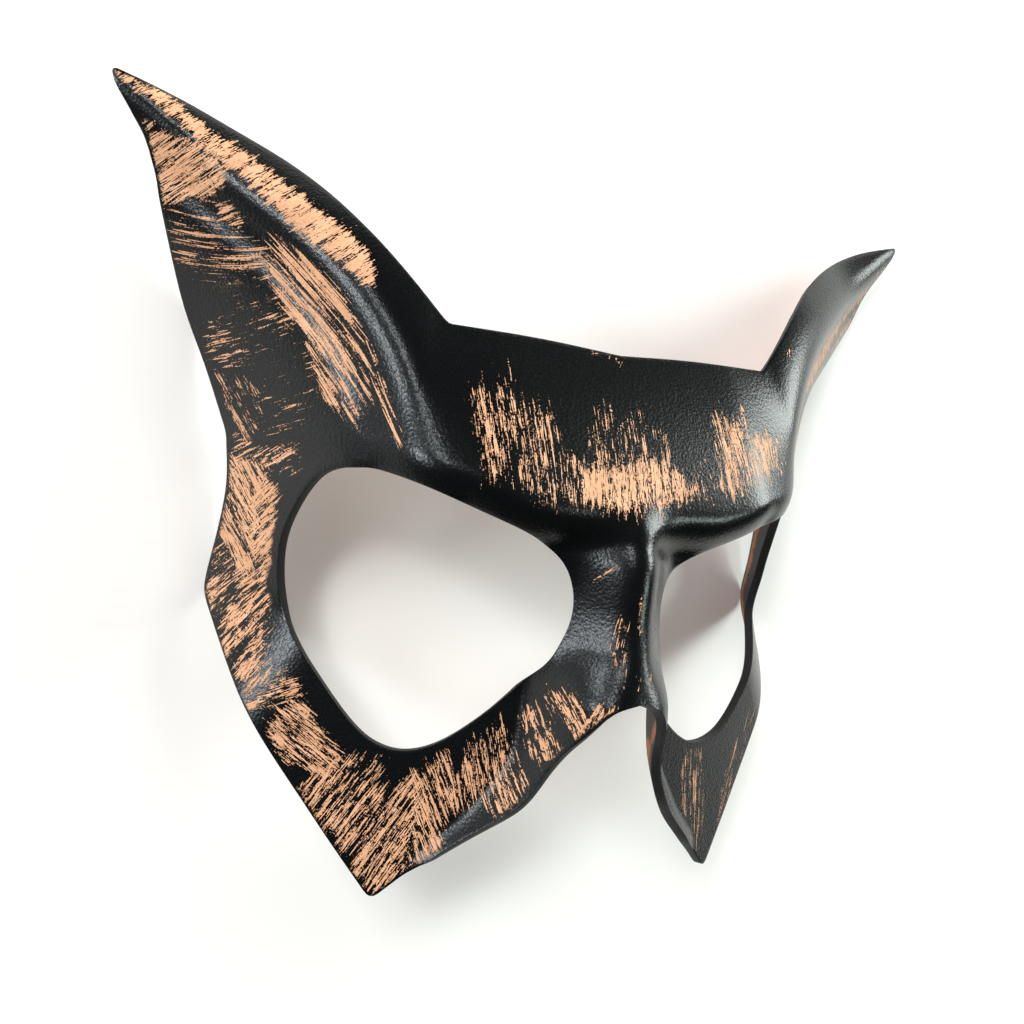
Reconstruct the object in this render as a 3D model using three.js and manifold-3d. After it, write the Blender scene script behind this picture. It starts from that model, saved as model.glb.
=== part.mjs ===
// Cat half-mask: one sheet of leather, wet-moulded over a form and cut to shape, lying face up.
// Millimetres. X runs across the face, Y from the cheek points to the ears, Z out of the face.
import * as THREE from 'three';
import { ParametricGeometry } from 'three/addons/geometries/ParametricGeometry.js';
import { mergeVertices } from 'three/addons/utils/BufferGeometryUtils.js';
import Module from 'manifold-3d';

// Driving dimensions of the moulded face. The nose ends in a broad arch with steep flanks. Heights are above the table, slopes are mm per mm.
const leatherThickness = 2.1;

const forehead = { height: 61.2, slope: 0.36, bow: 0.0047, turnFrom: 28, turn: 0.03 };
const brow = { at: 3, riseFrom: 20, rise: 0.3, overhang: 2.8, underSlope: 1.5, roll: 8 };

const earRidge = { height: 77, perX: 0.54, perY: 0.236, lowerFoot: [42, 10], lean: 0.24 };
const earBend = { at: [60, 48], angle: 36.2, blend: 14 };
const earTip = { at: [80, 64], angle: 36, curl: 0.28, steeper: 0.025, steeperFrom: 70 };
const earWall = { slope: 0.33, bow: 0.026, footSlope: 1.2, footFrom: 8 };
const earBowl = { slope: 0.55, bow: 0.013, groove: 1.3, grooveAt: 7, grooveWidth: 3.5 };
const ridgeEnd = { drop: 2.2, from: 10, to: 2, fadeFrom: 6, fadeTo: 16 };

const nose = { height: 64.1, tipRise: 5, tipFrom: 14, tipTo: 38, flank: 1.9, width: 6.8 };
const noseEnd = { from: 22, to: 34, flank: 0.0061, easeFrom: 34, easeTo: 74, ease: 0.0052 };
const noseRoot = { dip: 1.2, at: -0.5, length: 4, end: 0.5, endSlope: 1.5 };
const cheek = { height: 52.8, perX: 0.53, perY: 0.13 };
const socket = { height: 52, lift: 2.2, at: [13, -26], angle: 33.5, slope: 0.6, bow: 0.0016 };
const temple = { upperEdge: 73.45, lowerEdge: 74.45, slope: 2, earSpread: 1.5, cheekSpread: 0.9 };

// The cut outline of the right half, stretch by stretch. Each stretch is a smooth curve through a
// few points, with the number of facets along it, the place round the eye hole that its start
// faces (counted in points of the eye hole), and how far its first corner is rounded.
const outline = [
  { name: 'centre line', through: [[0, -31.5], [0, 35.4]], facets: 16, eye: -0.65, corner: 0 },
  { name: 'top edge', through: [[0, 35.4], [18, 36.5], [38, 36.8]], facets: 12, eye: 2.2, corner: 0 },
  {
    name: 'ear, inner edge', facets: 20, eye: 4, corner: 0.8,
    through: [[38, 36.8], [52.4, 52.6], [65.6, 63.5], [84.5, 72.8], [100.8, 77.8]],
  },
  {
    name: 'ear, outer edge', facets: 20, eye: 5, corner: 1.5,
    through: [
      [100.8, 77.8], [99.6, 74.3], [94.5, 67], [91.5, 60], [89.5, 52.8], [83.8, 36], [78, 22.6], [72.7, 9],
    ],
  },
  { name: 'temple', through: [[72.7, 9], [72, -4], [74.3, -26.3]], facets: 9, eye: 6.5, corner: 2 },
  {
    name: 'cheek, outer edge', facets: 15, eye: 7.9, corner: 2.5,
    through: [[74.3, -26.3], [66.7, -46], [53.7, -64.8], [41.3, -81.1]],
  },
  {
    name: 'cheek, inner edge', facets: 16, eye: 10.3, corner: 2,
    through: [[41.3, -81.1], [30.5, -69.8], [17.5, -56.4], [10.7, -41.8], [5.8, -33.8], [0, -31.5]],
  },
];

// The eye holes, each a closed smooth curve that starts beside the nose and goes by the brow. They
// were cut by hand, and the right one is rounder and wider below. X counts outwards on both sides.
const leftEye = [
  [10.8, -19.8], [11.7, -9], [19, -2.8], [32.6, 2.4], [45.6, 6.6], [52.3, 7.1], [58.6, 3.4],
  [62.5, -10.9], [60.4, -25.8], [54.3, -36.7], [43.3, -48.9], [32, -48.2], [17.7, -34.3],
];
const rightEye = [
  [10.8, -19.8], [11.7, -9.4], [19, -3.8], [32.6, 2.2], [45.6, 6.6], [52.3, 7.1], [58.9, 3.4],
  [63.6, -10.9], [63.2, -26.2], [57.6, -39.6], [45.2, -49.3], [30, -48.6], [16.8, -37.6],
];
const facetsAcross = 10; // from the eye hole to the cut outline

const blackLeather = new THREE.MeshStandardMaterial({ color: 0x17191b, roughness: 0.42, metalness: 0 });

// Smooth forms of max, min and a bend, which join the moulded planes with rounded leather.
const bend = (t, round) => 0.5 * (t + Math.hypot(t, round));
const step = THREE.MathUtils.smoothstep;

function softMax(a, b, blend) {
  const near = Math.max(blend - Math.abs(a - b), 0) / blend;
  return Math.max(a, b) + (near * near * blend) / 4;
}

const softMin = (a, b, blend) => -softMax(-a, -b, blend);

// Distance of (x, y) to the right of a line through a point, which climbs at an angle in degrees.
function besideLine(x, y, [px, py], angle) {
  const a = THREE.MathUtils.degToRad(angle);
  return (x - px) * Math.sin(a) - (y - py) * Math.cos(a);
}

// How far (x, y) lies outside the ridge that climbs from the brow and swings out to the ear tip.
function outsideRidge(x, y) {
  const upright = THREE.MathUtils.radToDeg(Math.atan2(1, earRidge.lean));
  const lower = besideLine(x, y, earRidge.lowerFoot, upright);
  return softMin(lower, besideLine(x, y, earBend.at, earBend.angle), earBend.blend);
}

function foreheadHeight(x, y) {
  const turned = bend(x - forehead.turnFrom, 4);
  return forehead.height - forehead.slope * y - forehead.bow * y * y - forehead.turn * turned * turned;
}

// The forehead rolls over at the brow and runs back under it.
function browHeight(x, y) {
  const edge = brow.at + brow.rise * bend(x - brow.riseFrom, 3);
  const under = foreheadHeight(x, edge) + brow.overhang + brow.underSlope * (y - edge);
  return softMin(foreheadHeight(x, y), under, brow.roll);
}

// The ear: a ridge, a wall that falls from it to the forehead, and a shallow bowl on its outside.
function earHeight(x, y) {
  const out = outsideRidge(x, y);
  const wallSide = bend(-out, 2.5);
  const bowlSide = bend(out, 2.5);
  const curl = earTip.curl * bend(besideLine(x, y, earTip.at, 90 + earTip.angle), 6);
  const ridge = earRidge.height - earRidge.perX * x - earRidge.perY * y + curl;
  const steepness = earWall.slope + earTip.steeper * bend(x - earTip.steeperFrom, 6);
  const wall = (steepness + earWall.bow * wallSide) * wallSide;
  const wallFoot = earWall.footSlope * bend(earWall.footFrom - y, 3) * step(-out, 2, 10);
  const bowl = (earBowl.slope + earBowl.bow * bowlSide) * bowlSide;
  const across = (out - earBowl.grooveAt) / earBowl.grooveWidth;
  const groove = earBowl.groove * Math.exp(-across * across) * step(y, 0, 14);
  const fade = 1 - step(out, ridgeEnd.fadeFrom, ridgeEnd.fadeTo);
  const end = ridgeEnd.drop * step(-y, -ridgeEnd.from, -ridgeEnd.to) * fade;
  return ridge - wall - wallFoot - bowl - groove - end;
}

function noseHeight(x, y) {
  const along = (y - noseRoot.at) / noseRoot.length;
  const rise = nose.tipRise * step(-y, nose.tipFrom, nose.tipTo) - noseRoot.dip * Math.exp(-along * along);
  const ridged = nose.flank * (Math.hypot(x, nose.width) - nose.width);
  const arched = (noseEnd.flank - noseEnd.ease * step(-y, noseEnd.easeFrom, noseEnd.easeTo)) * x ** 3;
  const fall = THREE.MathUtils.lerp(ridged, arched, step(-y, noseEnd.from, noseEnd.to));
  return nose.height + rise - fall - noseRoot.endSlope * bend(y - noseRoot.end, 2);
}

function cheekHeight(x, y) {
  const flat = cheek.height - cheek.perX * x - cheek.perY * y;
  const below = bend(besideLine(x, y, socket.at, socket.angle), 6);
  const lift = socket.lift * step(y, -14, -4);
  const fall = socket.slope * below + socket.bow * x * x + 0.5 * bend(x - 30, 5);
  const side = temple.slope * (temple.lowerEdge - x) + temple.cheekSpread * bend(-y - 25, 5);
  const face = softMin(softMax(flat, socket.height + lift - fall, 5), side, 20);
  return softMax(face, noseHeight(x, y), 8 + 9 * step(-y, 46, 60)) - 1.3 * bend(y - 3.5, 3);
}

// Height of the leather's face over the table at a point of the plan.
function faceHeight(signedX, y) {
  const x = Math.abs(signedX);
  const underBrow = 1.5 * bend(-y - 2, 3) * (1 - step(x, 40, 52)) + bend(-y - 14, 5);
  const upper = softMax(browHeight(x, y), earHeight(x, y), 5) - underBrow;
  const edge = temple.upperEdge - 0.1 * Math.min(y, 2);
  const side = temple.slope * (edge - x) + temple.earSpread * bend(y - 6, 8);
  return softMax(softMin(upper, side, 12), cheekHeight(x, y), 9);
}

// A point of the leather: on its face for depth 0, on its flesh side for depth leatherThickness.
function leatherPoint(x, y, depth, target) {
  const reach = 1.2;
  const alongX = (faceHeight(x + reach, y) - faceHeight(x - reach, y)) / (2 * reach);
  const alongY = (faceHeight(x, y + reach) - faceHeight(x, y - reach)) / (2 * reach);
  const inward = new THREE.Vector3(alongX, alongY, -1).normalize();
  return target.set(x, y, faceHeight(x, y)).addScaledVector(inward, depth);
}

// The cut outline and each eye hole as two rows of points that face each other.
const curves = outline.map(({ through }) => new THREE.SplineCurve(through.map(([x, y]) => new THREE.Vector2(x, y))));

function outlinePoint(index, along) {
  const curve = curves[index];
  const { corner } = outline[index];
  const walked = along * curve.getLength();
  if (walked >= corner) return curve.getPointAt(along);
  const before = curves[(index + curves.length - 1) % curves.length];
  const from = before.getPointAt(1 - corner / before.getLength());
  const to = curve.getPointAt(corner / curve.getLength());
  const round = new THREE.QuadraticBezierCurve(from, curve.getPoint(0), to);
  return round.getPoint(0.5 + (0.5 * walked) / corner);
}

function eyePoint(eyeHole, place) {
  const through = eyeHole.map(([x, y]) => new THREE.Vector3(x, y, 0));
  const curve = new THREE.CatmullRomCurve3(through, true, 'catmullrom', 0.5);
  const turns = place / eyeHole.length;
  return curve.getPoint(turns - Math.floor(turns));
}

// One half as a closed ring: over the face from eye hole to outline, and back along the flesh side.
const rows = 2 * (facetsAcross + 1);

function halfShell(eyeHole) {
  const ring = outline.flatMap(({ facets, eye }, index) => {
    const next = index + 1 < outline.length ? outline[index + 1].eye : outline[0].eye + eyeHole.length;
    return Array.from({ length: facets }, (_, i) => ({
      cut: outlinePoint(index, i / facets),
      eye: eyePoint(eyeHole, eye + ((next - eye) * i) / facets),
    }));
  });
  const place = (u, v, target) => {
    const { cut, eye } = ring[Math.round(u * ring.length) % ring.length];
    const row = Math.round(v * rows) % rows;
    const onFace = row <= facetsAcross;
    const across = (onFace ? row : rows - 1 - row) / facetsAcross;
    const x = THREE.MathUtils.lerp(eye.x, cut.x, across);
    const y = THREE.MathUtils.lerp(eye.y, cut.y, across);
    leatherPoint(x, y, onFace ? 0 : leatherThickness, target);
  };
  return new ParametricGeometry(place, ring.length, rows);
}

function bare(geometry) {
  geometry.deleteAttribute('normal');
  geometry.deleteAttribute('uv');
  return mergeVertices(geometry, 1e-3);
}

const wasm = await Module();
wasm.setup();

function solid(geometry) {
  const merged = bare(geometry);
  const vertProperties = merged.attributes.position.array;
  const triVerts = new Uint32Array(merged.index.array);
  const made = new wasm.Manifold(new wasm.Mesh({ numProp: 3, vertProperties, triVerts }));
  if (made.volume() > 0) return made;
  const flipped = triVerts.map((_, i) => triVerts[i - (i % 3) + [0, 2, 1][i % 3]]);
  return new wasm.Manifold(new wasm.Mesh({ numProp: 3, vertProperties, triVerts: flipped }));
}

function geometryOf(shape) {
  const { vertProperties, triVerts } = shape.getMesh();
  const geometry = new THREE.BufferGeometry();
  geometry.setAttribute('position', new THREE.BufferAttribute(vertProperties, 3));
  geometry.setIndex(new THREE.BufferAttribute(triVerts, 1));
  return geometry;
}

const rightHalf = halfShell(rightEye);
const leftHalf = halfShell(leftEye).scale(-1, 1, 1);
const shell = geometryOf(solid(rightHalf).add(solid(leftHalf)));

// The mask lies on the table, with its origin under the middle of its outline.
shell.computeBoundingBox();
const middle = shell.boundingBox.getCenter(new THREE.Vector3());
shell.translate(-middle.x, -middle.y, -shell.boundingBox.min.z);
shell.computeVertexNormals();

const mask = new THREE.Mesh(shell, blackLeather);
mask.name = 'mask_shell';

const catMask = new THREE.Group();
catMask.name = 'cat_mask';
catMask.add(mask);

export default catMask;
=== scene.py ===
import math
from types import SimpleNamespace as Form

import bmesh
import bpy
import numpy as np
from mathutils import Matrix, Vector
from mathutils.geometry import interpolate_bezier


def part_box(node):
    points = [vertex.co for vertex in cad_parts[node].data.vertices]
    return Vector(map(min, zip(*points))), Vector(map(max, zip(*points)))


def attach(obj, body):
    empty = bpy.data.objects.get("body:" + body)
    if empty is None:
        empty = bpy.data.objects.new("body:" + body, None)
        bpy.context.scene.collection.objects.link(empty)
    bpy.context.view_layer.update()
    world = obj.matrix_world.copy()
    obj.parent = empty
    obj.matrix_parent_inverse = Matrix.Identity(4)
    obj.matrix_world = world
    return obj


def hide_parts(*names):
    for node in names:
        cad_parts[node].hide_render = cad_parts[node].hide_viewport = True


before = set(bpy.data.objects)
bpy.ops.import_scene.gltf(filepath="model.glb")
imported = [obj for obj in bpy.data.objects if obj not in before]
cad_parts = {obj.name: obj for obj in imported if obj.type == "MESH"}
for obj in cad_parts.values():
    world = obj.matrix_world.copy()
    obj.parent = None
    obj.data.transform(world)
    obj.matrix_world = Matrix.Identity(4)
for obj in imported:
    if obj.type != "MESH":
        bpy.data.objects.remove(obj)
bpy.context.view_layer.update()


# The leather half mask. One piece of vegetable-tanned hide, 2.1 mm thick, is cut flat to its
# outline with two eye holes, wetted and moulded by hand into a cat's face with folded ears.
# Sizes are in millimetres, x over the wearer's face, y towards the ears, heights over the table.

LEATHER_THICKNESS = 2.1
EDGE_ROUNDING = 0.45
POINTS_PER_FACET = 4
ROWS_ACROSS = 40
STEPS_PER_SPAN = 24

# The outline, stretch by stretch: the points it goes through, its facets, the place round the eye
# hole that its start faces (counted in points of the eye hole), and its first corner's rounding.
OUTLINE = [
    ("centre line", [(0, -31.5), (0, 35.4)], 16, -0.65, 0),
    ("top edge", [(0, 35.4), (18, 36.5), (38, 36.8)], 12, 2.2, 0),
    ("ear, inner edge", [
        (38, 36.8), (52.4, 52.6), (65.6, 63.5), (84.5, 72.8), (100.8, 77.8),
    ], 20, 4, 0.8),
    ("ear, outer edge", [
        (100.8, 77.8), (99.6, 74.3), (94.5, 67), (91.5, 60), (89.5, 52.8), (83.8, 36), (78, 22.6), (72.7, 9),
    ], 20, 5, 1.5),
    ("temple", [(72.7, 9), (72, -4), (74.3, -26.3)], 9, 6.5, 2),
    ("cheek, outer edge", [(74.3, -26.3), (66.7, -46), (53.7, -64.8), (41.3, -81.1)], 15, 7.9, 2.5),
    ("cheek, inner edge", [
        (41.3, -81.1), (30.5, -69.8), (17.5, -56.4), (10.7, -41.8), (5.8, -33.8), (0, -31.5),
    ], 16, 10.3, 2),
]

# The eye holes start beside the nose and go by the brow. They were cut by hand, so each has its own
# shape, and the right one is rounder and wider below. x counts outwards on both sides.
LEFT_EYE = [
    (10.8, -19.8), (11.7, -9), (19, -2.8), (32.6, 2.4), (45.6, 6.6), (52.3, 7.1), (58.6, 3.4),
    (62.5, -10.9), (60.4, -25.8), (54.3, -36.7), (43.3, -48.9), (32, -48.2), (17.7, -34.3),
]
RIGHT_EYE = [
    (10.8, -19.8), (11.7, -9.4), (19, -3.8), (32.6, 2.2), (45.6, 6.6), (52.3, 7.1), (58.9, 3.4),
    (63.6, -10.9), (63.2, -26.2), (57.6, -39.6), (45.2, -49.3), (30, -48.6), (16.8, -37.6),
]


def bend(t, rounding):
    """Zero below zero and t above it, with a rounded bend between."""
    return 0.5 * (t + np.hypot(t, rounding))


def soft_max(a, b, blend):
    near = np.maximum(blend - np.abs(a - b), 0) / blend
    return np.maximum(a, b) + near * near * blend / 4


def soft_min(a, b, blend):
    return -soft_max(-a, -b, blend)


def step(t, start, end):
    f = np.clip((t - start) / (end - start), 0, 1)
    return f * f * (3 - 2 * f)


def beside_line(x, y, point, angle):
    """How far places lie to the right of a line through a point, which climbs at an angle."""
    a = math.radians(angle)
    return (x - point[0]) * math.sin(a) - (y - point[1]) * math.cos(a)


forehead = Form(height=61.2, slope=0.36, bow=0.0047, turn_from=28, turn=0.03)
brow = Form(at=3, rise_from=20, rise=0.3, overhang=2.8, under_slope=1.5, roll=8)


def forehead_height(x, y):
    turned = bend(x - forehead.turn_from, 4)
    return forehead.height - forehead.slope * y - forehead.bow * y * y - forehead.turn * turned * turned


def brow_height(x, y):
    """The forehead, which rolls over at the brow and runs back under it."""
    edge = brow.at + brow.rise * bend(x - brow.rise_from, 3)
    under = forehead_height(x, edge) + brow.overhang + brow.under_slope * (y - edge)
    return soft_min(forehead_height(x, y), under, brow.roll)


ear_ridge = Form(height=77, per_x=0.54, per_y=0.236, lower_foot=(42, 10), lean=0.24)
ear_bend = Form(at=(60, 48), angle=36.2, blend=14)
ear_tip = Form(at=(80, 64), angle=36, curl=0.28, steeper=0.025, steeper_from=70)
ear_wall = Form(slope=0.33, bow=0.026, foot_slope=1.2, foot_from=8)
ear_bowl = Form(slope=0.55, bow=0.013, groove=1.3, groove_at=7, groove_width=3.5)
ridge_end = Form(drop=2.2, starts=-10, ends=-2, fade_from=6, fade_to=16)


def outside_ridge(x, y):
    """How far places lie outside the ridge that climbs from the brow and swings out to the ear tip."""
    lower = beside_line(x, y, ear_ridge.lower_foot, math.degrees(math.atan2(1, ear_ridge.lean)))
    return soft_min(lower, beside_line(x, y, ear_bend.at, ear_bend.angle), ear_bend.blend)


def ear_height(x, y):
    """The ear: a ridge, a wall from it down to the forehead, and a shallow bowl on its outer side."""
    out = outside_ridge(x, y)
    wall_side, bowl_side = bend(-out, 2.5), bend(out, 2.5)
    curl = ear_tip.curl * bend(beside_line(x, y, ear_tip.at, 90 + ear_tip.angle), 6)
    ridge = ear_ridge.height - ear_ridge.per_x * x - ear_ridge.per_y * y + curl
    steepness = ear_wall.slope + ear_tip.steeper * bend(x - ear_tip.steeper_from, 6)
    wall = (steepness + ear_wall.bow * wall_side) * wall_side
    wall_foot = ear_wall.foot_slope * bend(ear_wall.foot_from - y, 3) * step(-out, 2, 10)
    bowl = (ear_bowl.slope + ear_bowl.bow * bowl_side) * bowl_side
    across = (out - ear_bowl.groove_at) / ear_bowl.groove_width
    groove = ear_bowl.groove * np.exp(-(across**2)) * step(y, 0, 14)
    fade = 1 - step(out, ridge_end.fade_from, ridge_end.fade_to)
    end = ridge_end.drop * step(-y, ridge_end.starts, ridge_end.ends) * fade
    return ridge - wall - wall_foot - bowl - groove - end


nose = Form(height=64.1, tip_rise=5, tip_from=14, tip_to=38, flank=1.9, width=6.8)
nose_end = Form(starts=22, ends=34, flank=0.0061, ease_from=34, ease_to=74, ease=0.0052)
nose_root = Form(dip=1.2, at=-0.5, length=4, end=0.5, end_slope=1.5)


def nose_height(x, y):
    """The nose: a ridge that opens into a broad arch with steep flanks at its end."""
    root = nose_root.dip * np.exp(-(((y - nose_root.at) / nose_root.length) ** 2))
    rise = nose.tip_rise * step(-y, nose.tip_from, nose.tip_to) - root
    ridged = nose.flank * (np.hypot(x, nose.width) - nose.width)
    arched = (nose_end.flank - nose_end.ease * step(-y, nose_end.ease_from, nose_end.ease_to)) * x**3
    fall = ridged + (arched - ridged) * step(-y, nose_end.starts, nose_end.ends)
    return nose.height + rise - fall - nose_root.end_slope * bend(y - nose_root.end, 2)


cheek = Form(height=52.8, per_x=0.53, per_y=0.13)
socket = Form(height=52, lift=2.2, at=(13, -26), angle=33.5, slope=0.6, bow=0.0016)
temple = Form(upper_edge=73.45, lower_edge=74.45, slope=2, ear_spread=1.5, cheek_spread=0.9)


def cheek_height(x, y):
    """The cheek with the hollow below the eye, the nose beside it, and its fall at the temple."""
    flat = cheek.height - cheek.per_x * x - cheek.per_y * y
    below = bend(beside_line(x, y, socket.at, socket.angle), 6)
    fall = socket.slope * below + socket.bow * x * x + 0.5 * bend(x - 30, 5)
    hollow = socket.height + socket.lift * step(y, -14, -4) - fall
    side = temple.slope * (temple.lower_edge - x) + temple.cheek_spread * bend(-y - 25, 5)
    face = soft_min(soft_max(flat, hollow, 5), side, 20)
    return soft_max(face, nose_height(x, y), 8 + 9 * step(-y, 46, 60)) - 1.3 * bend(y - 3.5, 3)


def face_height(x, y):
    """Height of the leather's face over the table at places of the plan."""
    x = np.abs(x)
    under_brow = 1.5 * bend(-y - 2, 3) * (1 - step(x, 40, 52)) + bend(-y - 14, 5)
    upper = soft_max(brow_height(x, y), ear_height(x, y), 5) - under_brow
    edge = temple.upper_edge - 0.1 * np.minimum(y, 2)
    side = temple.slope * (edge - x) + temple.ear_spread * bend(y - 6, 8)
    return soft_max(soft_min(upper, side, 12), cheek_height(x, y), 9)


def smooth_curve(points, closed=False):
    """A dense row of places on the smooth curve through a few points."""
    ends = [points[-1]] + points + points[:2] if closed else points[:1] + points + points[-1:]
    row = []
    for a, b, c, d in zip(*([Vector(p) for p in ends[i:]] for i in range(4))):
        row += interpolate_bezier(b, b + (c - a) / 6, c - (d - b) / 6, c, STEPS_PER_SPAN + 1)[:-1]
    return np.array([p[:2] for p in row + [Vector((*ends[-2], 0))]])


def place_on(curve, at):
    """The place at a distance along a dense row."""
    walked = np.concatenate([[0], np.cumsum(np.hypot(*np.diff(curve, axis=0).T))])
    return Vector((np.interp(at, walked, curve[:, 0]), np.interp(at, walked, curve[:, 1])))


def length_of(curve):
    return float(np.hypot(*np.diff(curve, axis=0).T).sum())


# Places along the cut outline, with its corners rounded, and those that they face round the eye holes.
eye_curves = {side: smooth_curve(hole, closed=True) for side, hole in ((1, RIGHT_EYE), (-1, LEFT_EYE))}
cut_curves = [smooth_curve(through) for _, through, *_ in OUTLINE]
cut_places, eye_places = [], {1: [], -1: []}
for i, (_, _, facets, eye, corner) in enumerate(OUTLINE):
    last = i + 1 == len(OUTLINE)
    *_, next_eye, next_corner = OUTLINE[0 if last else i + 1]
    before, curve, after = cut_curves[i - 1], cut_curves[i], cut_curves[0 if last else i + 1]
    next_eye += len(LEFT_EYE) if last else 0
    long = length_of(curve)
    first_bend = place_on(before, length_of(before) - corner), place_on(curve, corner)
    last_bend = place_on(curve, long - next_corner), place_on(after, next_corner)
    for k in range(facets * POINTS_PER_FACET):
        part = k / (facets * POINTS_PER_FACET)
        spot = place_on(curve, part * long)
        for rounding, (start, end), tip, gone in (
            (corner, first_bend, curve[0], part * long),
            (next_corner, last_bend, curve[-1], part * long - long),
        ):
            if rounding and abs(gone) < rounding:
                t = 0.5 + 0.5 * gone / rounding
                spot = start * (1 - t) ** 2 + Vector(tip) * 2 * t * (1 - t) + end * t * t
        cut_places.append(spot)
        at = (eye + (next_eye - eye) * part) % len(LEFT_EYE) * STEPS_PER_SPAN
        for side, hole in eye_curves.items():
            eye_places[side].append([float(np.interp(at, range(len(hole)), hole[:, j])) for j in (0, 1)])

# The flat blank: the rim of each eye hole is drawn out to the cut line, and the sheet thickened.
bm = bmesh.new()
order = bm.verts.layers.int.new("order")
for side, places in eye_places.items():
    rim = []
    for i, (across, up) in enumerate(places):
        vertex = bm.verts.new((side * across, up, 0))
        vertex[order] = i
        rim.append(vertex)
    loop = [bm.edges.new((a, b)) for a, b in zip(rim, rim[1:] + rim[:1])]
    for vertex in bmesh.ops.extrude_edge_only(bm, edges=loop)["geom"]:
        if isinstance(vertex, bmesh.types.BMVert):
            cut = cut_places[vertex[order]]
            vertex.co = (side * cut.x, cut.y, 0)
bmesh.ops.remove_doubles(bm, verts=bm.verts[:], dist=1e-4)
bmesh.ops.recalc_face_normals(bm, faces=bm.faces[:])
if sum(face.normal.z for face in bm.faces) < 0:
    bmesh.ops.reverse_faces(bm, faces=bm.faces[:])
bmesh.ops.solidify(bm, geom=bm.faces[:], thickness=LEATHER_THICKNESS)
bm.normal_update()

# The cut edges are rubbed round, and the two sheets get their rows from the eye hole outwards.
cut_corners = [
    e for e in bm.edges
    if abs(e.verts[0].co.z - e.verts[1].co.z) < 1e-3 and e.calc_face_angle() > 1
]
bmesh.ops.bevel(
    bm, geom=cut_corners, offset=EDGE_ROUNDING, offset_type="OFFSET", segments=2, profile=0.5,
    material=-1, affect="EDGES", clamp_overlap=True,
)
bm.normal_update()
outward = [
    e for e in bm.edges
    if all(abs(f.normal.z) > 0.99 for f in e.link_faces) and max(abs(v.co.x) for v in e.verts) > 1e-3
]
bmesh.ops.subdivide_edges(bm, edges=outward, cuts=ROWS_ACROSS - 1, use_grid_fill=True)
bm.normal_update()
PAINTED_FACE, CUT_EDGE, FLESH_SIDE = 0, 1, 2
for face in bm.faces:
    face.smooth = True
    up = face.normal.z
    face.material_index = PAINTED_FACE if up > 0.5 else FLESH_SIDE if up < -0.9 else CUT_EDGE

# Wet moulding: each point of the flat blank goes to its height, square to the moulded face.
SLOPE_REACH = 1.2
flat = np.array([v.co for v in bm.verts])
x, y, depth = flat.T
along_x = (face_height(x + SLOPE_REACH, y) - face_height(x - SLOPE_REACH, y)) / (2 * SLOPE_REACH)
along_y = (face_height(x, y + SLOPE_REACH) - face_height(x, y - SLOPE_REACH)) / (2 * SLOPE_REACH)
inward = np.stack([along_x, along_y, -np.ones_like(x)]) / np.sqrt(1 + along_x**2 + along_y**2)
moulded = np.stack([x, y, face_height(x, y)]) - inward * depth

# The mould's own place is moved so that the mask lies on the table exactly where its solid does.
solid_low, solid_high = (Vector(corner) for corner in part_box("mask_shell"))
low, high = Vector(moulded.min(axis=1)) / 1000, Vector(moulded.max(axis=1)) / 1000
to_table = (solid_low + solid_high - low - high) / 2
to_table.z = solid_low.z - low.z
for vertex, place in zip(bm.verts, moulded.T):
    vertex.co = Vector(place) / 1000 + to_table

mask_mesh = bpy.data.meshes.new("leather_mask")
bm.to_mesh(mask_mesh)
bm.free()
mask = bpy.data.objects.new("leather_mask", mask_mesh)
bpy.context.collection.objects.link(mask)


# The finish. The hide is left its own tan, brushed nearly all over with black and rubbed while wet,
# so that the hide shows in dry, streaky patches. The cut edges are dyed, the flesh side is left bare.


class Shade:
    """A value that varies over a finish. Sums and products of such values add Math nodes."""

    def __init__(self, tree, socket=None):
        self.tree, self.socket = tree, socket

    def feed(self, node, sockets):
        """Gives a node's sockets their values or links."""
        for name, value in sockets.items():
            if isinstance(value, Shade):
                self.tree.links.new(value.socket, node.inputs[name])
            else:
                node.inputs[name].default_value = value

    def node(self, kind, settings=None, sockets=None, out=0):
        made = self.tree.nodes.new("ShaderNode" + kind)
        for name, value in (settings or {}).items():
            setattr(made, name, value)
        self.feed(made, sockets or {})
        return Shade(self.tree, made.outputs[out])

    def parts(self):
        split = self.node("SeparateXYZ", {}, {0: self}).socket.node
        return [Shade(self.tree, socket) for socket in split.outputs]

    def math(self, operation, *values):
        return self.node("Math", {"operation": operation}, dict(enumerate(values)))

    def __add__(self, other):
        return self.math("ADD", self, other)

    def __sub__(self, other):
        return self.math("SUBTRACT", self, other)

    def __rsub__(self, other):
        return self.math("SUBTRACT", other, self)

    def __mul__(self, other):
        return self.math("MULTIPLY", self, other)

    def __truediv__(self, other):
        return self.math("DIVIDE", self, other)

    def __rtruediv__(self, other):
        return self.math("DIVIDE", other, self)

    __radd__ = __add__
    __rmul__ = __mul__

    def or_more(self, other):
        return self.math("MAXIMUM", self, other)

    def rises(self, start, end):
        settings = {"interpolation_type": "SMOOTHSTEP"}
        return self.node("MapRange", settings, {"Value": self, "From Min": start, "From Max": end})

    def between(self, first, second, blend="MIX"):
        """The colour that goes from the first to the second as this value goes from 0 to 1."""
        settings = {"data_type": "RGBA", "blend_type": blend}
        return self.node("Mix", settings, {0: self, 6: first, 7: second}, out=2)


def new_finish(name):
    """A new material, its shader, and the Shade that adds its nodes."""
    material = bpy.data.materials.new(name)
    material.use_nodes = True
    return material, material.node_tree.nodes["Principled BSDF"], Shade(material.node_tree)


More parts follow.
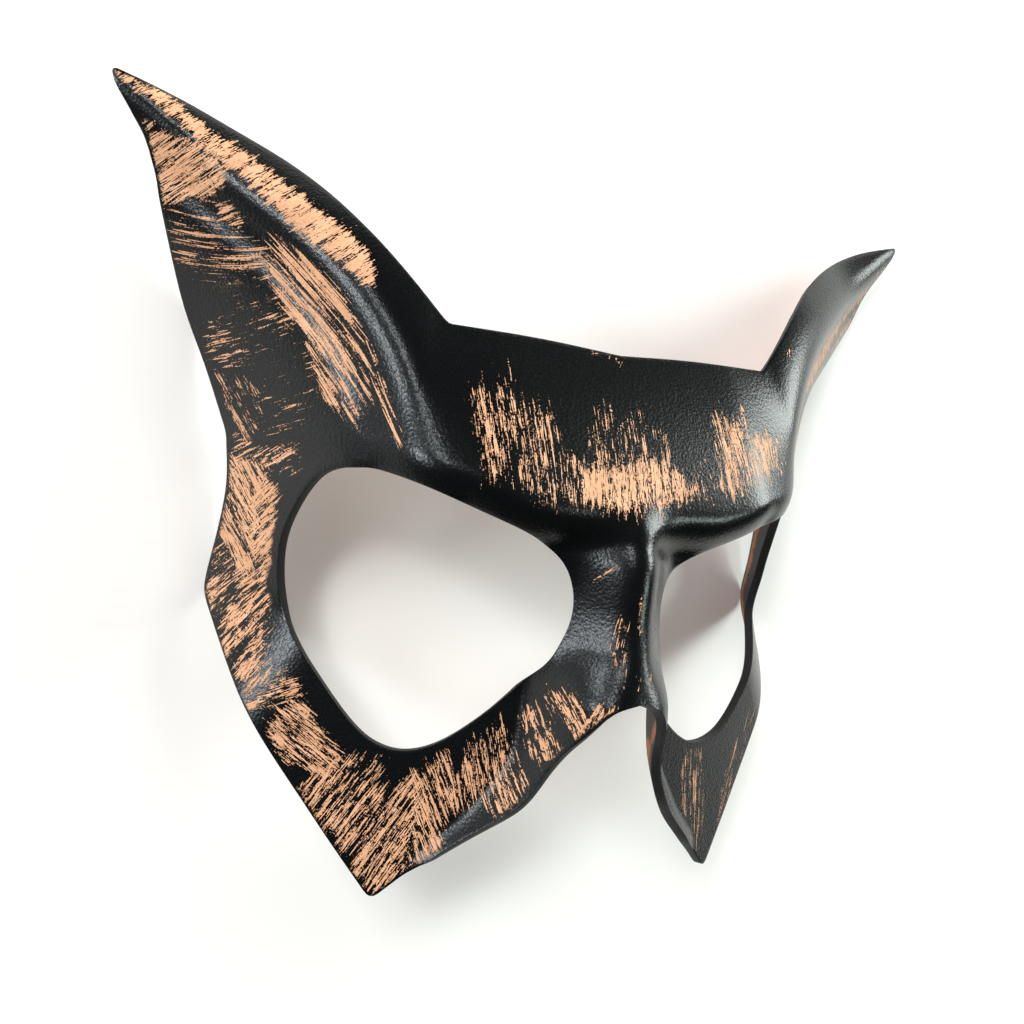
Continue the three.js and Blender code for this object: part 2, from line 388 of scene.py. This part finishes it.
# A patch: its name, the pass of the brush that it belongs to, the strokes' angle and curve, a hair's
# length and width, how wide its border frays, how far the hairs run out of it, how bare it gets, and
# its corners.
BRUSHED = [
    ("left crest", 1, 38, 0, (1.5, 0.2), 0.6, 2.4, 0.8, [
        (-101.5, 77.5), (-95, 76.4), (-91, 75.6), (-89, 73.6), (-87, 71.6), (-83, 69.2), (-80, 67.5),
        (-76.5, 65.6), (-71.5, 62.5), (-68, 59.8), (-64, 56.8), (-60, 53.4), (-56, 51), (-53.4, 47.6),
        (-52.6, 45), (-52.6, 41.6), (-54, 42), (-58, 45.3), (-63, 48.2), (-67, 51.8), (-71, 55.2),
        (-75, 58.8), (-77, 60.6), (-80, 62.2), (-83, 64.8), (-86, 67.6), (-88, 69.8), (-91, 70.8),
        (-94, 72.8), (-97, 74.4), (-101.5, 75),
    ]),
    ("left crest, dry side", 4, 32, 0, (2, 0.2), 0.8, 2, 0.33, [
        (-67, 59.5), (-61, 56.5), (-56, 53), (-53, 48), (-54.5, 49), (-60, 53.5),
    ]),
    ("left ear, upper", 2, 40, 0, (2.6, 0.2), 0.5, 2.6, 0.73, [
        (-94, 68.4), (-91, 66.6), (-88, 67), (-84.5, 66), (-81, 63.4), (-79.2, 60.6), (-79.6, 57.4),
        (-81.5, 55.7), (-84, 55), (-87, 54.5), (-89.2, 53.8), (-90.6, 57), (-91.7, 60), (-92.3, 63),
    ]),
    ("left ear, level streaks", 3, 2, 0.014, (5, 0.2), 0.6, 5, 0.5, [
        (-88, 54.3), (-80.5, 55), (-79.8, 52), (-75.5, 50.5), (-72, 49.5), (-69.7, 47), (-69.5, 43.5),
        (-72, 41), (-76, 39.5), (-78.5, 38.5), (-82, 40), (-85, 43), (-87.4, 48),
    ]),
    ("left ear, dab", 1, 26, 0, (1.5, 0.2), 0.5, 2, 0.66, [
        (-80.4, 55.6), (-78.2, 55.4), (-76.4, 53.6), (-74.6, 52.2), (-75.6, 50.4), (-78, 51.6),
        (-79.6, 53.4),
    ]),
    ("left ear, long streaks", 4, -48, -0.003, (6, 0.2), 0.7, 4, 0.68, [
        (-70.6, 47.5), (-68.5, 49.3), (-66, 47.8), (-63, 45.8), (-60, 43.2), (-57.4, 40.7),
        (-56, 37.5), (-54.4, 34.5), (-52.8, 31.5), (-52.5, 30), (-55.5, 32.5), (-58, 36),
        (-61.8, 39.6), (-59, 36), (-55, 30.5), (-62, 28.5), (-64, 33), (-66.5, 33.5), (-67, 37),
        (-69, 40.8), (-70.4, 44),
    ]),
    ("left ear, long streaks, foot", 2, -57, -0.003, (5, 0.2), 0.7, 4, 0.62, [
        (-63.5, 32), (-57, 33), (-52.5, 28.5), (-51.3, 23), (-52, 18.5), (-53, 15), (-55, 16.5),
        (-57, 17), (-59, 20), (-60.4, 24), (-62.6, 28),
    ]),
    ("left ear, outermost streak", 1, -68, 0, (5, 0.2), 0.5, 5, 0.62, [
        (-53.6, 32.5), (-52, 30.6), (-50.4, 26.5), (-48.6, 21.5), (-47, 16.5), (-46, 13.5),
        (-47.6, 13), (-49.5, 19), (-50.6, 22), (-51.6, 27),
    ]),
    ("left ear, cross streaks", 1, 30, 0, (2.8, 0.22), 0.8, 4, 0.46, [
        (-73.5, 41), (-71, 45), (-67, 44), (-65, 38), (-62, 30), (-58, 19), (-57, 16), (-60, 19.5),
        (-62.4, 26), (-65, 30), (-68, 30.6), (-71.5, 34.2), (-71, 38),
    ]),
    ("left ear, dabs", 2, 24, 0, (2, 0.25), 0.9, 2.5, 0.46, [
        (-79.8, 31), (-77.5, 33.8), (-75, 32.7), (-73, 28.7), (-70.5, 27), (-69.6, 23.5), (-73, 22),
        (-77, 22), (-79, 27),
    ]),
    ("left ear, faint dabs", 3, 26, 0, (2.5, 0.2), 1.2, 3, 0.33, [
        (-76, 37.5), (-68, 36), (-65, 28), (-67, 25), (-72, 28),
    ]),
    ("left ear, foot", 4, -58, 0, (2, 0.2), 0.8, 3, 0.5, [
        (-76, 21), (-72, 22), (-69, 21), (-68.6, 16.5), (-67, 14.5), (-67.5, 9.5), (-70, 8),
        (-73, 14.5),
    ]),
    ("left ear, foot streaks", 3, 30, 0, (3, 0.22), 0.9, 3.5, 0.37, [
        (-70.5, 15.5), (-66.5, 24.5), (-62, 24), (-61, 18), (-60, 13.5), (-64.5, 9), (-68.5, 12),
    ]),
    ("left temple, top", 3, 48, 0, (1.8, 0.2), 0.9, 2.5, 0.55, [
        (-72.5, 9.5), (-69, 9.4), (-65.5, 8.4), (-62, 9.5), (-61, 4), (-65, 3), (-71, 2),
    ]),
    ("left temple", 1, -62, 0, (2, 0.2), 0.8, 3, 0.72, [
        (-72.5, 5), (-66, 4.6), (-65.6, -1), (-66, -8), (-66.4, -15), (-66, -20.5), (-68.5, -19.5),
        (-70.5, -15), (-73, -12), (-73, -4),
    ]),
    ("left temple, inner", 4, 62, 0, (2, 0.2), 0.7, 3, 0.66, [
        (-67.6, -3), (-66, 3.5), (-64, 0), (-63.2, -8), (-62.8, -15), (-62.2, -20), (-65, -20.5),
        (-67.5, -14),
    ]),
    ("left temple, hatching", 2, 57, 0, (2.6, 0.2), 0.8, 3.4, 0.6, [
        (-74, -14), (-70, -14), (-66, -18.6), (-62.3, -18.6), (-61.7, -25), (-63.4, -28),
        (-62.4, -34), (-61, -38.4), (-63, -41), (-67, -43.5), (-71, -38), (-73.4, -32), (-75, -27),
        (-74.6, -20),
    ]),
    ("left cheek, dab", 3, 30, 0, (2, 0.2), 0.7, 2.5, 0.57, [
        (-67.6, -45.4), (-64.5, -41.4), (-60, -37.4), (-56.6, -39), (-56.4, -42), (-61, -45),
        (-66.4, -47),
    ]),
    ("left cheek", 1, -35, 0, (2, 0.2), 0.8, 2.6, 0.67, [
        (-62.8, -48), (-61.4, -45), (-57, -42), (-54.4, -43.6), (-54, -46.6), (-50, -49.4),
        (-47.6, -52), (-48, -56.4), (-52, -57.6), (-57, -56.6), (-60, -55.6), (-61.4, -52),
    ]),
    ("left cheek, hatching", 2, 60, 0, (3, 0.2), 0.8, 3.6, 0.6, [
        (-53.6, -56.6), (-49, -53.4), (-45, -50.8), (-40.6, -53), (-39.4, -57), (-39.6, -63),
        (-41.6, -69), (-43, -73.6), (-46.4, -73), (-51, -68.4), (-55, -64), (-55.8, -60),
    ]),
    ("left cheek, margin dabs", 3, 74, 0, (1.5, 0.2), 0.5, 2, 0.52, [
        (-56.3, -61), (-55, -59.2), (-53.8, -63), (-55.2, -64.6),
    ]),
    ("left cheek, tip", 1, 62, 0, (2.6, 0.2), 0.7, 3.5, 0.66, [
        (-46, -78), (-44, -71), (-41, -63.4), (-38, -58.2), (-35, -54), (-33, -55), (-32.6, -60),
        (-34, -65), (-34.6, -70), (-35.4, -75), (-38.4, -77.4), (-41, -80),
    ]),
    ("left cheek, under the eye", 3, -67, 0, (2.4, 0.2), 0.7, 3.2, 0.6, [
        (-35.5, -54.6), (-31, -50.4), (-29, -47.6), (-27.4, -52), (-26.6, -58), (-28, -63),
        (-28.4, -67), (-29, -71), (-33, -74.4), (-35.6, -71), (-34.5, -64),
    ]),
    ("left cheek, inner", 2, -78, 0, (2.4, 0.2), 0.7, 3.6, 0.61, [
        (-28.4, -57), (-26.2, -50), (-25, -45.4), (-21, -43.6), (-19.4, -40.6), (-17.6, -43.4),
        (-16.6, -48.6), (-14.6, -52), (-16.6, -56.6), (-20, -60.4), (-23, -59.6), (-25, -61.2),
        (-27.4, -61),
    ]),
    ("left cheek, near the nose", 1, -80, 0, (2, 0.2), 0.6, 3, 0.62, [
        (-16.8, -39.5), (-15, -37), (-13.2, -38.6), (-12, -41.4), (-11.1, -44.5), (-12.4, -48),
        (-15.2, -46.6),
    ]),
    ("left of the nose", 3, -70, 0, (2, 0.2), 0.6, 2.6, 0.66, [
        (-14.2, -34), (-11.5, -31), (-10, -33), (-9.3, -37), (-8.3, -41.4), (-10, -40.4),
        (-12.3, -37.8),
    ]),
    ("left of the nose, rim", 2, 70, 0, (1.2, 0.2), 0.6, 2.6, 0.57, [
        (-9.6, -36.4), (-8.3, -32.5), (-6, -33), (-4.6, -32.4), (-5, -36), (-8, -39.4),
    ]),
    ("forehead, left", 1, 94, 0, (2.4, 0.2), 0.6, 4, 0.56, [
        (-35.6, 24.6), (-33, 25.6), (-30.2, 24), (-28.7, 28.4), (-27.2, 26.4), (-25.8, 22.4),
        (-23, 25), (-21, 22.6), (-17.6, 22.4), (-16.6, 17), (-17.2, 13), (-15.8, 10), (-16.6, 5.4),
        (-21, 4.4), (-24, 6.6), (-27.8, 7.8), (-25.4, 14.8), (-26.4, 15), (-28.6, 11.6), (-29, 9.2),
        (-33.4, 8.4), (-33.9, 14), (-35, 19),
    ]),
    ("forehead, left of the middle", 3, 90, 0, (2.4, 0.24), 0.6, 4, 0.5, [
        (-17, 15), (-15.4, 16), (-13.8, 14), (-12, 12), (-12, 5.4), (-14, 4), (-17, 5),
    ]),
    ("forehead, middle", 2, 90, 0, (1.4, 0.2), 0.7, 3.6, 0.74, [
        (-13.6, 12.2), (-9, 13), (-5, 12.6), (-1, 14), (2, 15.2), (7, 14.6), (10.4, 13), (12.2, 9),
        (9, 7), (5, 5.4), (0, 5.6), (-4, 4.6), (-9, 4.6), (-12.8, 5.6),
    ]),
    ("forehead, above the middle", 4, 91, 0, (3.4, 0.25), 0.6, 5, 0.47, [
        (-12.8, 11.5), (-10.6, 19), (-8, 24), (-5, 24.6), (-3, 21.6), (0, 23), (2, 25.6), (5, 23.6),
        (7, 21.6), (8.6, 15), (5, 13), (-5, 12),
    ]),
    ("forehead, high streaks", 3, 90, 0, (5, 0.3), 0.5, 8, 0.3, [
        (-33, 30), (-31, 31), (-29, 27), (-22, 31), (-21, 26), (-30, 25),
    ]),
    ("forehead, right of the middle", 4, 97, 0, (1.8, 0.22), 0.8, 3, 0.46, [
        (10.5, 7), (11, 14), (16.5, 16.6), (18.5, 12), (17.8, 7),
    ]),
    ("forehead, right", 1, 98, 0, (2.4, 0.2), 0.7, 4, 0.62, [
        (18.6, 9.4), (19.2, 16), (19.7, 25), (21.5, 26.6), (25, 24.6), (27, 26), (28.6, 28.6),
        (30.4, 23), (33, 22.6), (36, 22.8), (38, 20.6), (37, 16), (33, 12.6), (29, 11.4), (25, 10),
        (21, 8.4),
    ]),
    ("forehead, far right", 2, 110, 0, (1.2, 0.25), 0.8, 2, 0.5, [
        (36.5, 22.5), (40.9, 24.4), (41.4, 20), (40.4, 15), (37.5, 13.4), (36.4, 17),
    ]),
    ("forehead, top edge", 4, 4, 0, (2, 0.25), 0.4, 2.5, 0.6, [
        (-6.8, 36), (-2, 36.2), (-1.6, 35.3), (-6.6, 35),
    ]),
    ("forehead, under the top edge", 1, 60, 0, (1.2, 0.25), 0.5, 2, 0.44, [
        (-3.4, 35), (0.8, 34.6), (0.4, 32.6), (-2.4, 33.4),
    ]),
    ("nose, left", 4, 52, 0, (2, 0.2), 0.5, 3.5, 0.44, [
        (-10.3, -11), (-8, -8), (-4, -3.6), (-4.3, -5), (-7.5, -10.3),
    ]),
    ("nose, ridge", 4, 80, 0, (3, 0.2), 0.5, 4, 0.52, [
        (-5, -20), (-3.6, -15.5), (-1.8, -16.5), (-2.4, -22), (-3.1, -28), (-4.5, -26),
    ]),
    ("nose, right of the ridge", 3, 84, 0, (0.8, 0.25), 0.5, 2, 0.4, [
        (-1, -11), (0.5, -11), (0.6, -18), (-0.8, -18),
    ]),
    ("nose, end", 4, 80, 0, (1.2, 0.25), 0.6, 2, 0.4, [
        (-1, -25.5), (3, -26.5), (3, -29.5), (0.5, -31.8), (-1.5, -29),
    ]),
    ("right cheek, streaks", 1, 94, 0, (4, 0.2), 0.9, 5, 0.44, [
        (27.5, -51), (31, -48.5), (37.5, -52), (39, -61), (41, -72), (42.5, -78), (40, -79),
        (34, -73), (30, -66), (28, -58),
    ]),
    ("right cheek, outer", 2, 66, 0, (4, 0.2), 0.9, 5, 0.42, [
        (45.5, -73), (48, -62), (52, -55), (57, -50), (62, -44), (63, -48), (56, -60.5), (49, -70.5),
    ]),
    ("right temple", 3, 75, 0, (2.5, 0.25), 0.9, 3, 0.36, [
        (66, -41), (69, -35), (72, -27), (71, -18), (68, -20), (67, -31), (64, -38),
    ]),
    ("right crest, outer side", 2, 142, 0, (1.5, 0.2), 0.8, 3, 0.7, [
        (60, 38), (67, 45), (77, 54), (87, 62), (94, 69.5), (98, 72.5), (96, 68), (90, 61), (82, 53),
        (74, 44), (66, 36), (61, 34),
    ]),
    ("right ear, upper", 3, 140, 0, (2.2, 0.2), 0.6, 2.6, 0.66, [
        (94, 66), (90, 60), (86, 56), (82, 50), (84, 46), (87.6, 50), (90, 57), (92, 62),
    ]),
    ("right ear, level streaks", 4, 175, -0.014, (4, 0.3), 0.8, 4, 0.46, [
        (84, 46), (76, 42), (70, 34), (70, 28), (76, 27), (81, 33), (84.5, 41),
    ]),
    ("right ear, long streaks", 1, 232, 0, (5, 0.22), 0.8, 4, 0.6, [
        (68, 36), (61, 31), (57, 24), (53, 16), (58, 17), (64, 23), (69, 29),
    ]),
    ("right ear, specks", 1, 60, 0, (1, 0.3), 0.5, 1.6, 0.46, [
        (45, 43), (47, 43.5), (48, 41.5), (46, 40.8),
    ]),
]
PATCH_GROWTH = 0.3
LEAST_COVER = -0.5
PATTERN_SHIFT = (41, 67)


def along_and_across(px, py, middle, angle, curve):
    """Places measured along a patch's strokes, which may curve, and across them."""
    px, py = px - middle[0], py - middle[1]
    along = px * math.cos(angle) + py * math.sin(angle)
    return along, py * math.cos(angle) - px * math.sin(angle) - curve * along * along


def depth_inside(places, corners):
    """How far places lie inside a patch, below zero where they lie outside it."""
    nearest = np.full(len(places), np.inf)
    within = np.zeros(len(places), dtype=bool)
    for start, end in zip(corners, np.roll(corners, -1, axis=0)):
        side, reach = end - start, places - start
        part = np.clip(reach @ side / (side @ side), 0, 1)
        nearest = np.minimum(nearest, np.hypot(*(reach - part[:, None] * side).T))
        crossed = (start[1] > places[:, 1]) != (end[1] > places[:, 1])
        with np.errstate(divide="ignore", invalid="ignore"):
            meets = start[0] + (places[:, 1] - start[1]) * side[0] / side[1]
        within ^= crossed & (places[:, 0] < meets)
    return np.where(within, nearest, -nearest)


passes = {}
for seed, (_, number, angle, curve, (long, wide), fringe, pull, bare, corners) in enumerate(BRUSHED):
    strokes = np.mean(corners, axis=0), math.radians(angle), curve
    u, v = along_and_across(x, y, *strokes)
    corner_u, corner_v = along_and_across(*np.array(corners, dtype=float).T, *strokes)
    inside = depth_inside(np.stack([u / pull, v], axis=1), np.stack([corner_u / pull, corner_v], axis=1))
    cover = bare * np.clip(0.5 + (inside + PATCH_GROWTH) / (2 * fringe), LEAST_COVER, 1)
    here = passes.setdefault(number, np.stack([u, v, np.full(len(u), LEAST_COVER)]))
    better = cover > here[2]
    here[0] = np.where(better, u / long + PATTERN_SHIFT[0] * seed, here[0])
    here[1] = np.where(better, v / wide + PATTERN_SHIFT[1] * seed, here[1])
    here[2] = np.where(better, cover, here[2])
for number, values in passes.items():
    layer = mask_mesh.attributes.new(f"brush_{number}", "FLOAT_VECTOR", "POINT")
    layer.data.foreach_set("vector", values.T.ravel().astype(np.float32))

# How far each point lies from the eye holes and from the cut outline, for the edge dye.
margins = np.zeros((3, len(x)))
eye_rims = np.concatenate([hole * (side, 1) for side, hole in eye_curves.items()])
cut_rim = np.concatenate(cut_curves[1:])
for row, rim in enumerate((eye_rims, np.concatenate([cut_rim, cut_rim * (-1, 1)]))):
    nearest = np.full(len(x), np.inf)
    for across, up in rim:
        nearest = np.minimum(nearest, (x - across) ** 2 + (y - up) ** 2)
    margins[row] = np.sqrt(nearest)
layer = mask_mesh.attributes.new("margins", "FLOAT_VECTOR", "POINT")
layer.data.foreach_set("vector", margins.T.ravel().astype(np.float32))

# The painted face. Each pass of the brush leaves fine hairs and wider streaks of bare hide, but the
# rims are black all round. Bare hide is duller than the paint, and its pores are darker.
BLACK = (0.0025, 0.003, 0.0033, 1)
TAN, DEEPER_TAN, PORES = (0.69, 0.395, 0.235, 1), (0.6, 0.33, 0.188, 1), (0.66, 0.56, 0.48, 1)
STREAK_LENGTH, STREAK_WIDTH = 3.2, 2.8
SHOWS_FROM, SHOWS_FULLY = 0.998, 1.018

black_paint, shader, look = new_finish("brushed_black_on_tan_hide")
place = look.node("TexCoord", out="Object")
grain = look.node("TexNoise", {}, {"Vector": place, "Scale": 2300, "Detail": 2, "Roughness": 0.6})
patchy = look.node("TexNoise", {}, {"Vector": place, "Scale": 190, "Detail": 1})
bare = None
for number in sorted(passes):
    u, v, cover = look.node("Attribute", {"attribute_name": f"brush_{number}"}, out="Vector").parts()
    hair = look.node("CombineXYZ", {}, {0: u, 1: v, 2: float(number)})
    streak = look.node("CombineXYZ", {}, {0: u / STREAK_LENGTH, 1: v / STREAK_WIDTH, 2: number + 0.5})
    hair = look.node("TexNoise", {}, {"Vector": hair, "Scale": 1, "Detail": 1})
    streak = look.node("TexNoise", {}, {"Vector": streak, "Scale": 1, "Detail": 2})
    marks = hair * 0.5 + streak * 0.52 + grain * 0.32 + patchy * 0.12
    shown = (marks + cover * 0.42).rises(SHOWS_FROM, SHOWS_FULLY)
    bare = shown if bare is None else bare.or_more(shown)
from_eye, from_cut, _ = look.node("Attribute", {"attribute_name": "margins"}, out="Vector").parts()
bare = bare * (from_cut + grain).rises(0.9, 1.3) * (from_eye + patchy * 2).rises(2.2, 3)
tan = patchy.rises(0.3, 0.7).between(TAN, DEEPER_TAN)
hide = (grain.rises(0.42, 0.62) * 0.5).between(tan, PORES, "MULTIPLY")
pebbles = look.node("TexVoronoi", {}, {"Vector": place, "Scale": 1500}, out="Distance")
relief = pebbles * 0.6 + grain * 0.7 - bare * 0.15
look.feed(shader, {
    "Base Color": bare.between(BLACK, hide),
    "Roughness": 0.19 + bare * 0.35 + grain * 0.14,
    "Specular IOR Level": 0.36,
    "Normal": look.node("Bump", {}, {"Height": relief, "Strength": 0.5, "Distance": 0.0001}),
})
mask_mesh.materials.append(black_paint)

# The cut edge is dyed black, with a few brown fibres standing in it.
DYED_BLACK, FIBRE_BROWN = (0.005, 0.0055, 0.006, 1), (0.035, 0.02, 0.012, 1)

edge_dye, shader, look = new_finish("dyed_cut_edge")
place = look.node("TexCoord", out="Object")
fibres = look.node("TexNoise", {}, {"Vector": place, "Scale": 2600, "Detail": 2, "Roughness": 0.7})
look.feed(shader, {
    "Base Color": fibres.rises(0.56, 0.75).between(DYED_BLACK, FIBRE_BROWN),
    "Roughness": 0.62,
    "Normal": look.node("Bump", {}, {"Height": fibres, "Strength": 0.7, "Distance": 0.0003}),
})
mask_mesh.materials.append(edge_dye)

# The flesh side is bare brown suede. The black has run over its rims, widest round the eye holes.
SPILT_BLACK = (0.011, 0.0115, 0.012, 1)
SUEDE, DARKER_SUEDE = (0.40, 0.155, 0.06, 1), (0.27, 0.095, 0.035, 1)

flesh_side, shader, look = new_finish("brown_flesh_side")
place = look.node("TexCoord", out="Object")
nap = look.node("TexNoise", {}, {"Vector": place, "Scale": 900, "Detail": 3, "Roughness": 0.7})
cloudy = look.node("TexNoise", {}, {"Vector": place, "Scale": 60, "Detail": 2})
from_eye, from_cut, _ = look.node("Attribute", {"attribute_name": "margins"}, out="Vector").parts()
ragged = cloudy * 9 + nap * 2.4 - 4.5
spilt = (from_eye - ragged).rises(5.4, 4.9).or_more((from_cut - ragged * 0.4).rises(0.6, 0.3))
brown = (cloudy.rises(0.3, 0.7) * 0.6 + nap * 0.4).between(SUEDE, DARKER_SUEDE)
look.feed(shader, {
    "Base Color": spilt.between(brown, SPILT_BLACK),
    "Roughness": 0.9 - spilt * 0.25,
    "Normal": look.node("Bump", {}, {"Height": nap, "Strength": 0.5, "Distance": 0.0004}),
})
mask_mesh.materials.append(flesh_side)

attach(mask, "root")
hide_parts("mask_shell")


# The table is a plain near-white board. Daylight from the back left throws the mask's shadows,
# weaker light fills them from all round, and the windows at the sides are mirrored in the paint.
BOARD_REACH = 2

floor_mesh = bpy.data.meshes.new("table_top")
bm = bmesh.new()
bmesh.ops.create_grid(bm, x_segments=1, y_segments=1, size=BOARD_REACH)
bm.to_mesh(floor_mesh)
bm.free()
floor = bpy.data.objects.new("table_top", floor_mesh)
bpy.context.collection.objects.link(floor)
white_board, shader, look = new_finish("white_board")
look.feed(shader, {"Base Color": (0.85, 0.84, 0.83, 1), "Roughness": 0.6})
floor_mesh.materials.append(white_board)

world = bpy.data.worlds.new("studio")
bpy.context.scene.world = world
world.use_nodes = True
room_light = world.node_tree.nodes["Background"]
Shade(world.node_tree).feed(room_light, {"Color": (0.9, 0.9, 0.9, 1), "Strength": 0.025})
bpy.context.scene.view_settings.view_transform = "Standard"


def soft_box(name, place, size, watts, colour, mirrored=True):
    light = bpy.data.lights.new(name, "AREA")
    light.shape = "RECTANGLE"
    light.size, light.size_y = size
    light.energy = watts
    light.color = colour
    box = bpy.data.objects.new(name, light)
    box.location = place
    box.rotation_euler = (Vector((0, 0, 0.03)) - Vector(place)).to_track_quat("-Z", "Y").to_euler()
    box.visible_glossy = mirrored
    bpy.context.collection.objects.link(box)


soft_box("window_light", (-0.93, 0.92, 1.18), (0.7, 0.5), 21, (1, 0.97, 0.94), mirrored=False)
soft_box("back_light", (0, 2.2, 0.75), (2, 0.6), 25, (1, 0.94, 0.88), mirrored=False)
soft_box("front_light", (-0.7, -2.1, 0.7), (2, 0.6), 15, (1, 0.92, 0.85), mirrored=False)
soft_box("ceiling_light", (-0.3, 0, 2), (2, 2), 5, (1, 0.92, 0.85), mirrored=False)
soft_box("far_window", (1.4, 0.68, 0.66), (0.9, 0.6), 29, (0.93, 1, 0.96))
soft_box("high_window", (1.05, -0.16, 1.26), (0.4, 0.4), 6, (0.86, 1, 0.95))
soft_box("side_window", (-0.95, 0.09, 0.39), (0.1, 0.12), 2.8, (0.88, 0.95, 1))
soft_box("side_window_far", (-0.82, 0.52, 0.36), (0.12, 0.12), 1.9, (0.88, 0.95, 1))
soft_box("glint", (-0.69, 0.54, 0.86), (0.13, 0.13), 2.4, (0.9, 0.97, 1))

# The camera looks down past the left ear, from about 25 cm away. Its turn comes from the point, in
# the photograph's pixels, where the lines across the mask run together, and from the slope of 15 in
# 99 at which the table then lies.
PHOTO_SIZE, FOCAL_LENGTH = 1024, 1000
LINES_ACROSS_MEET = (2700, 668)
LEAN = math.atan2(15, 99)
CAMERA_PLACE = Vector((-0.105, 0.0234, 0.2265))
SENSOR_WIDTH = 36

camera_data = bpy.data.cameras.new("camera")
camera_data.sensor_width = SENSOR_WIDTH
camera_data.lens = SENSOR_WIDTH * FOCAL_LENGTH / PHOTO_SIZE
camera_data.clip_start = 0.01
camera = bpy.data.objects.new("camera", camera_data)
bpy.context.collection.objects.link(camera)
bpy.context.scene.camera = camera
photo_up = Vector((0, -1, 0))
across = Vector((*(meet - PHOTO_SIZE / 2 for meet in LINES_ACROSS_MEET), FOCAL_LENGTH)).normalized()
upward = (photo_up - across * across.dot(photo_up)).normalized()
seen_from = Matrix.Rotation(-LEAN, 3, "X") @ Matrix((across, upward, across.cross(upward)))
turn = seen_from @ Matrix.Diagonal((1, -1, -1))
camera.matrix_world = Matrix.Translation(CAMERA_PLACE + to_table) @ turn.to_4x4()
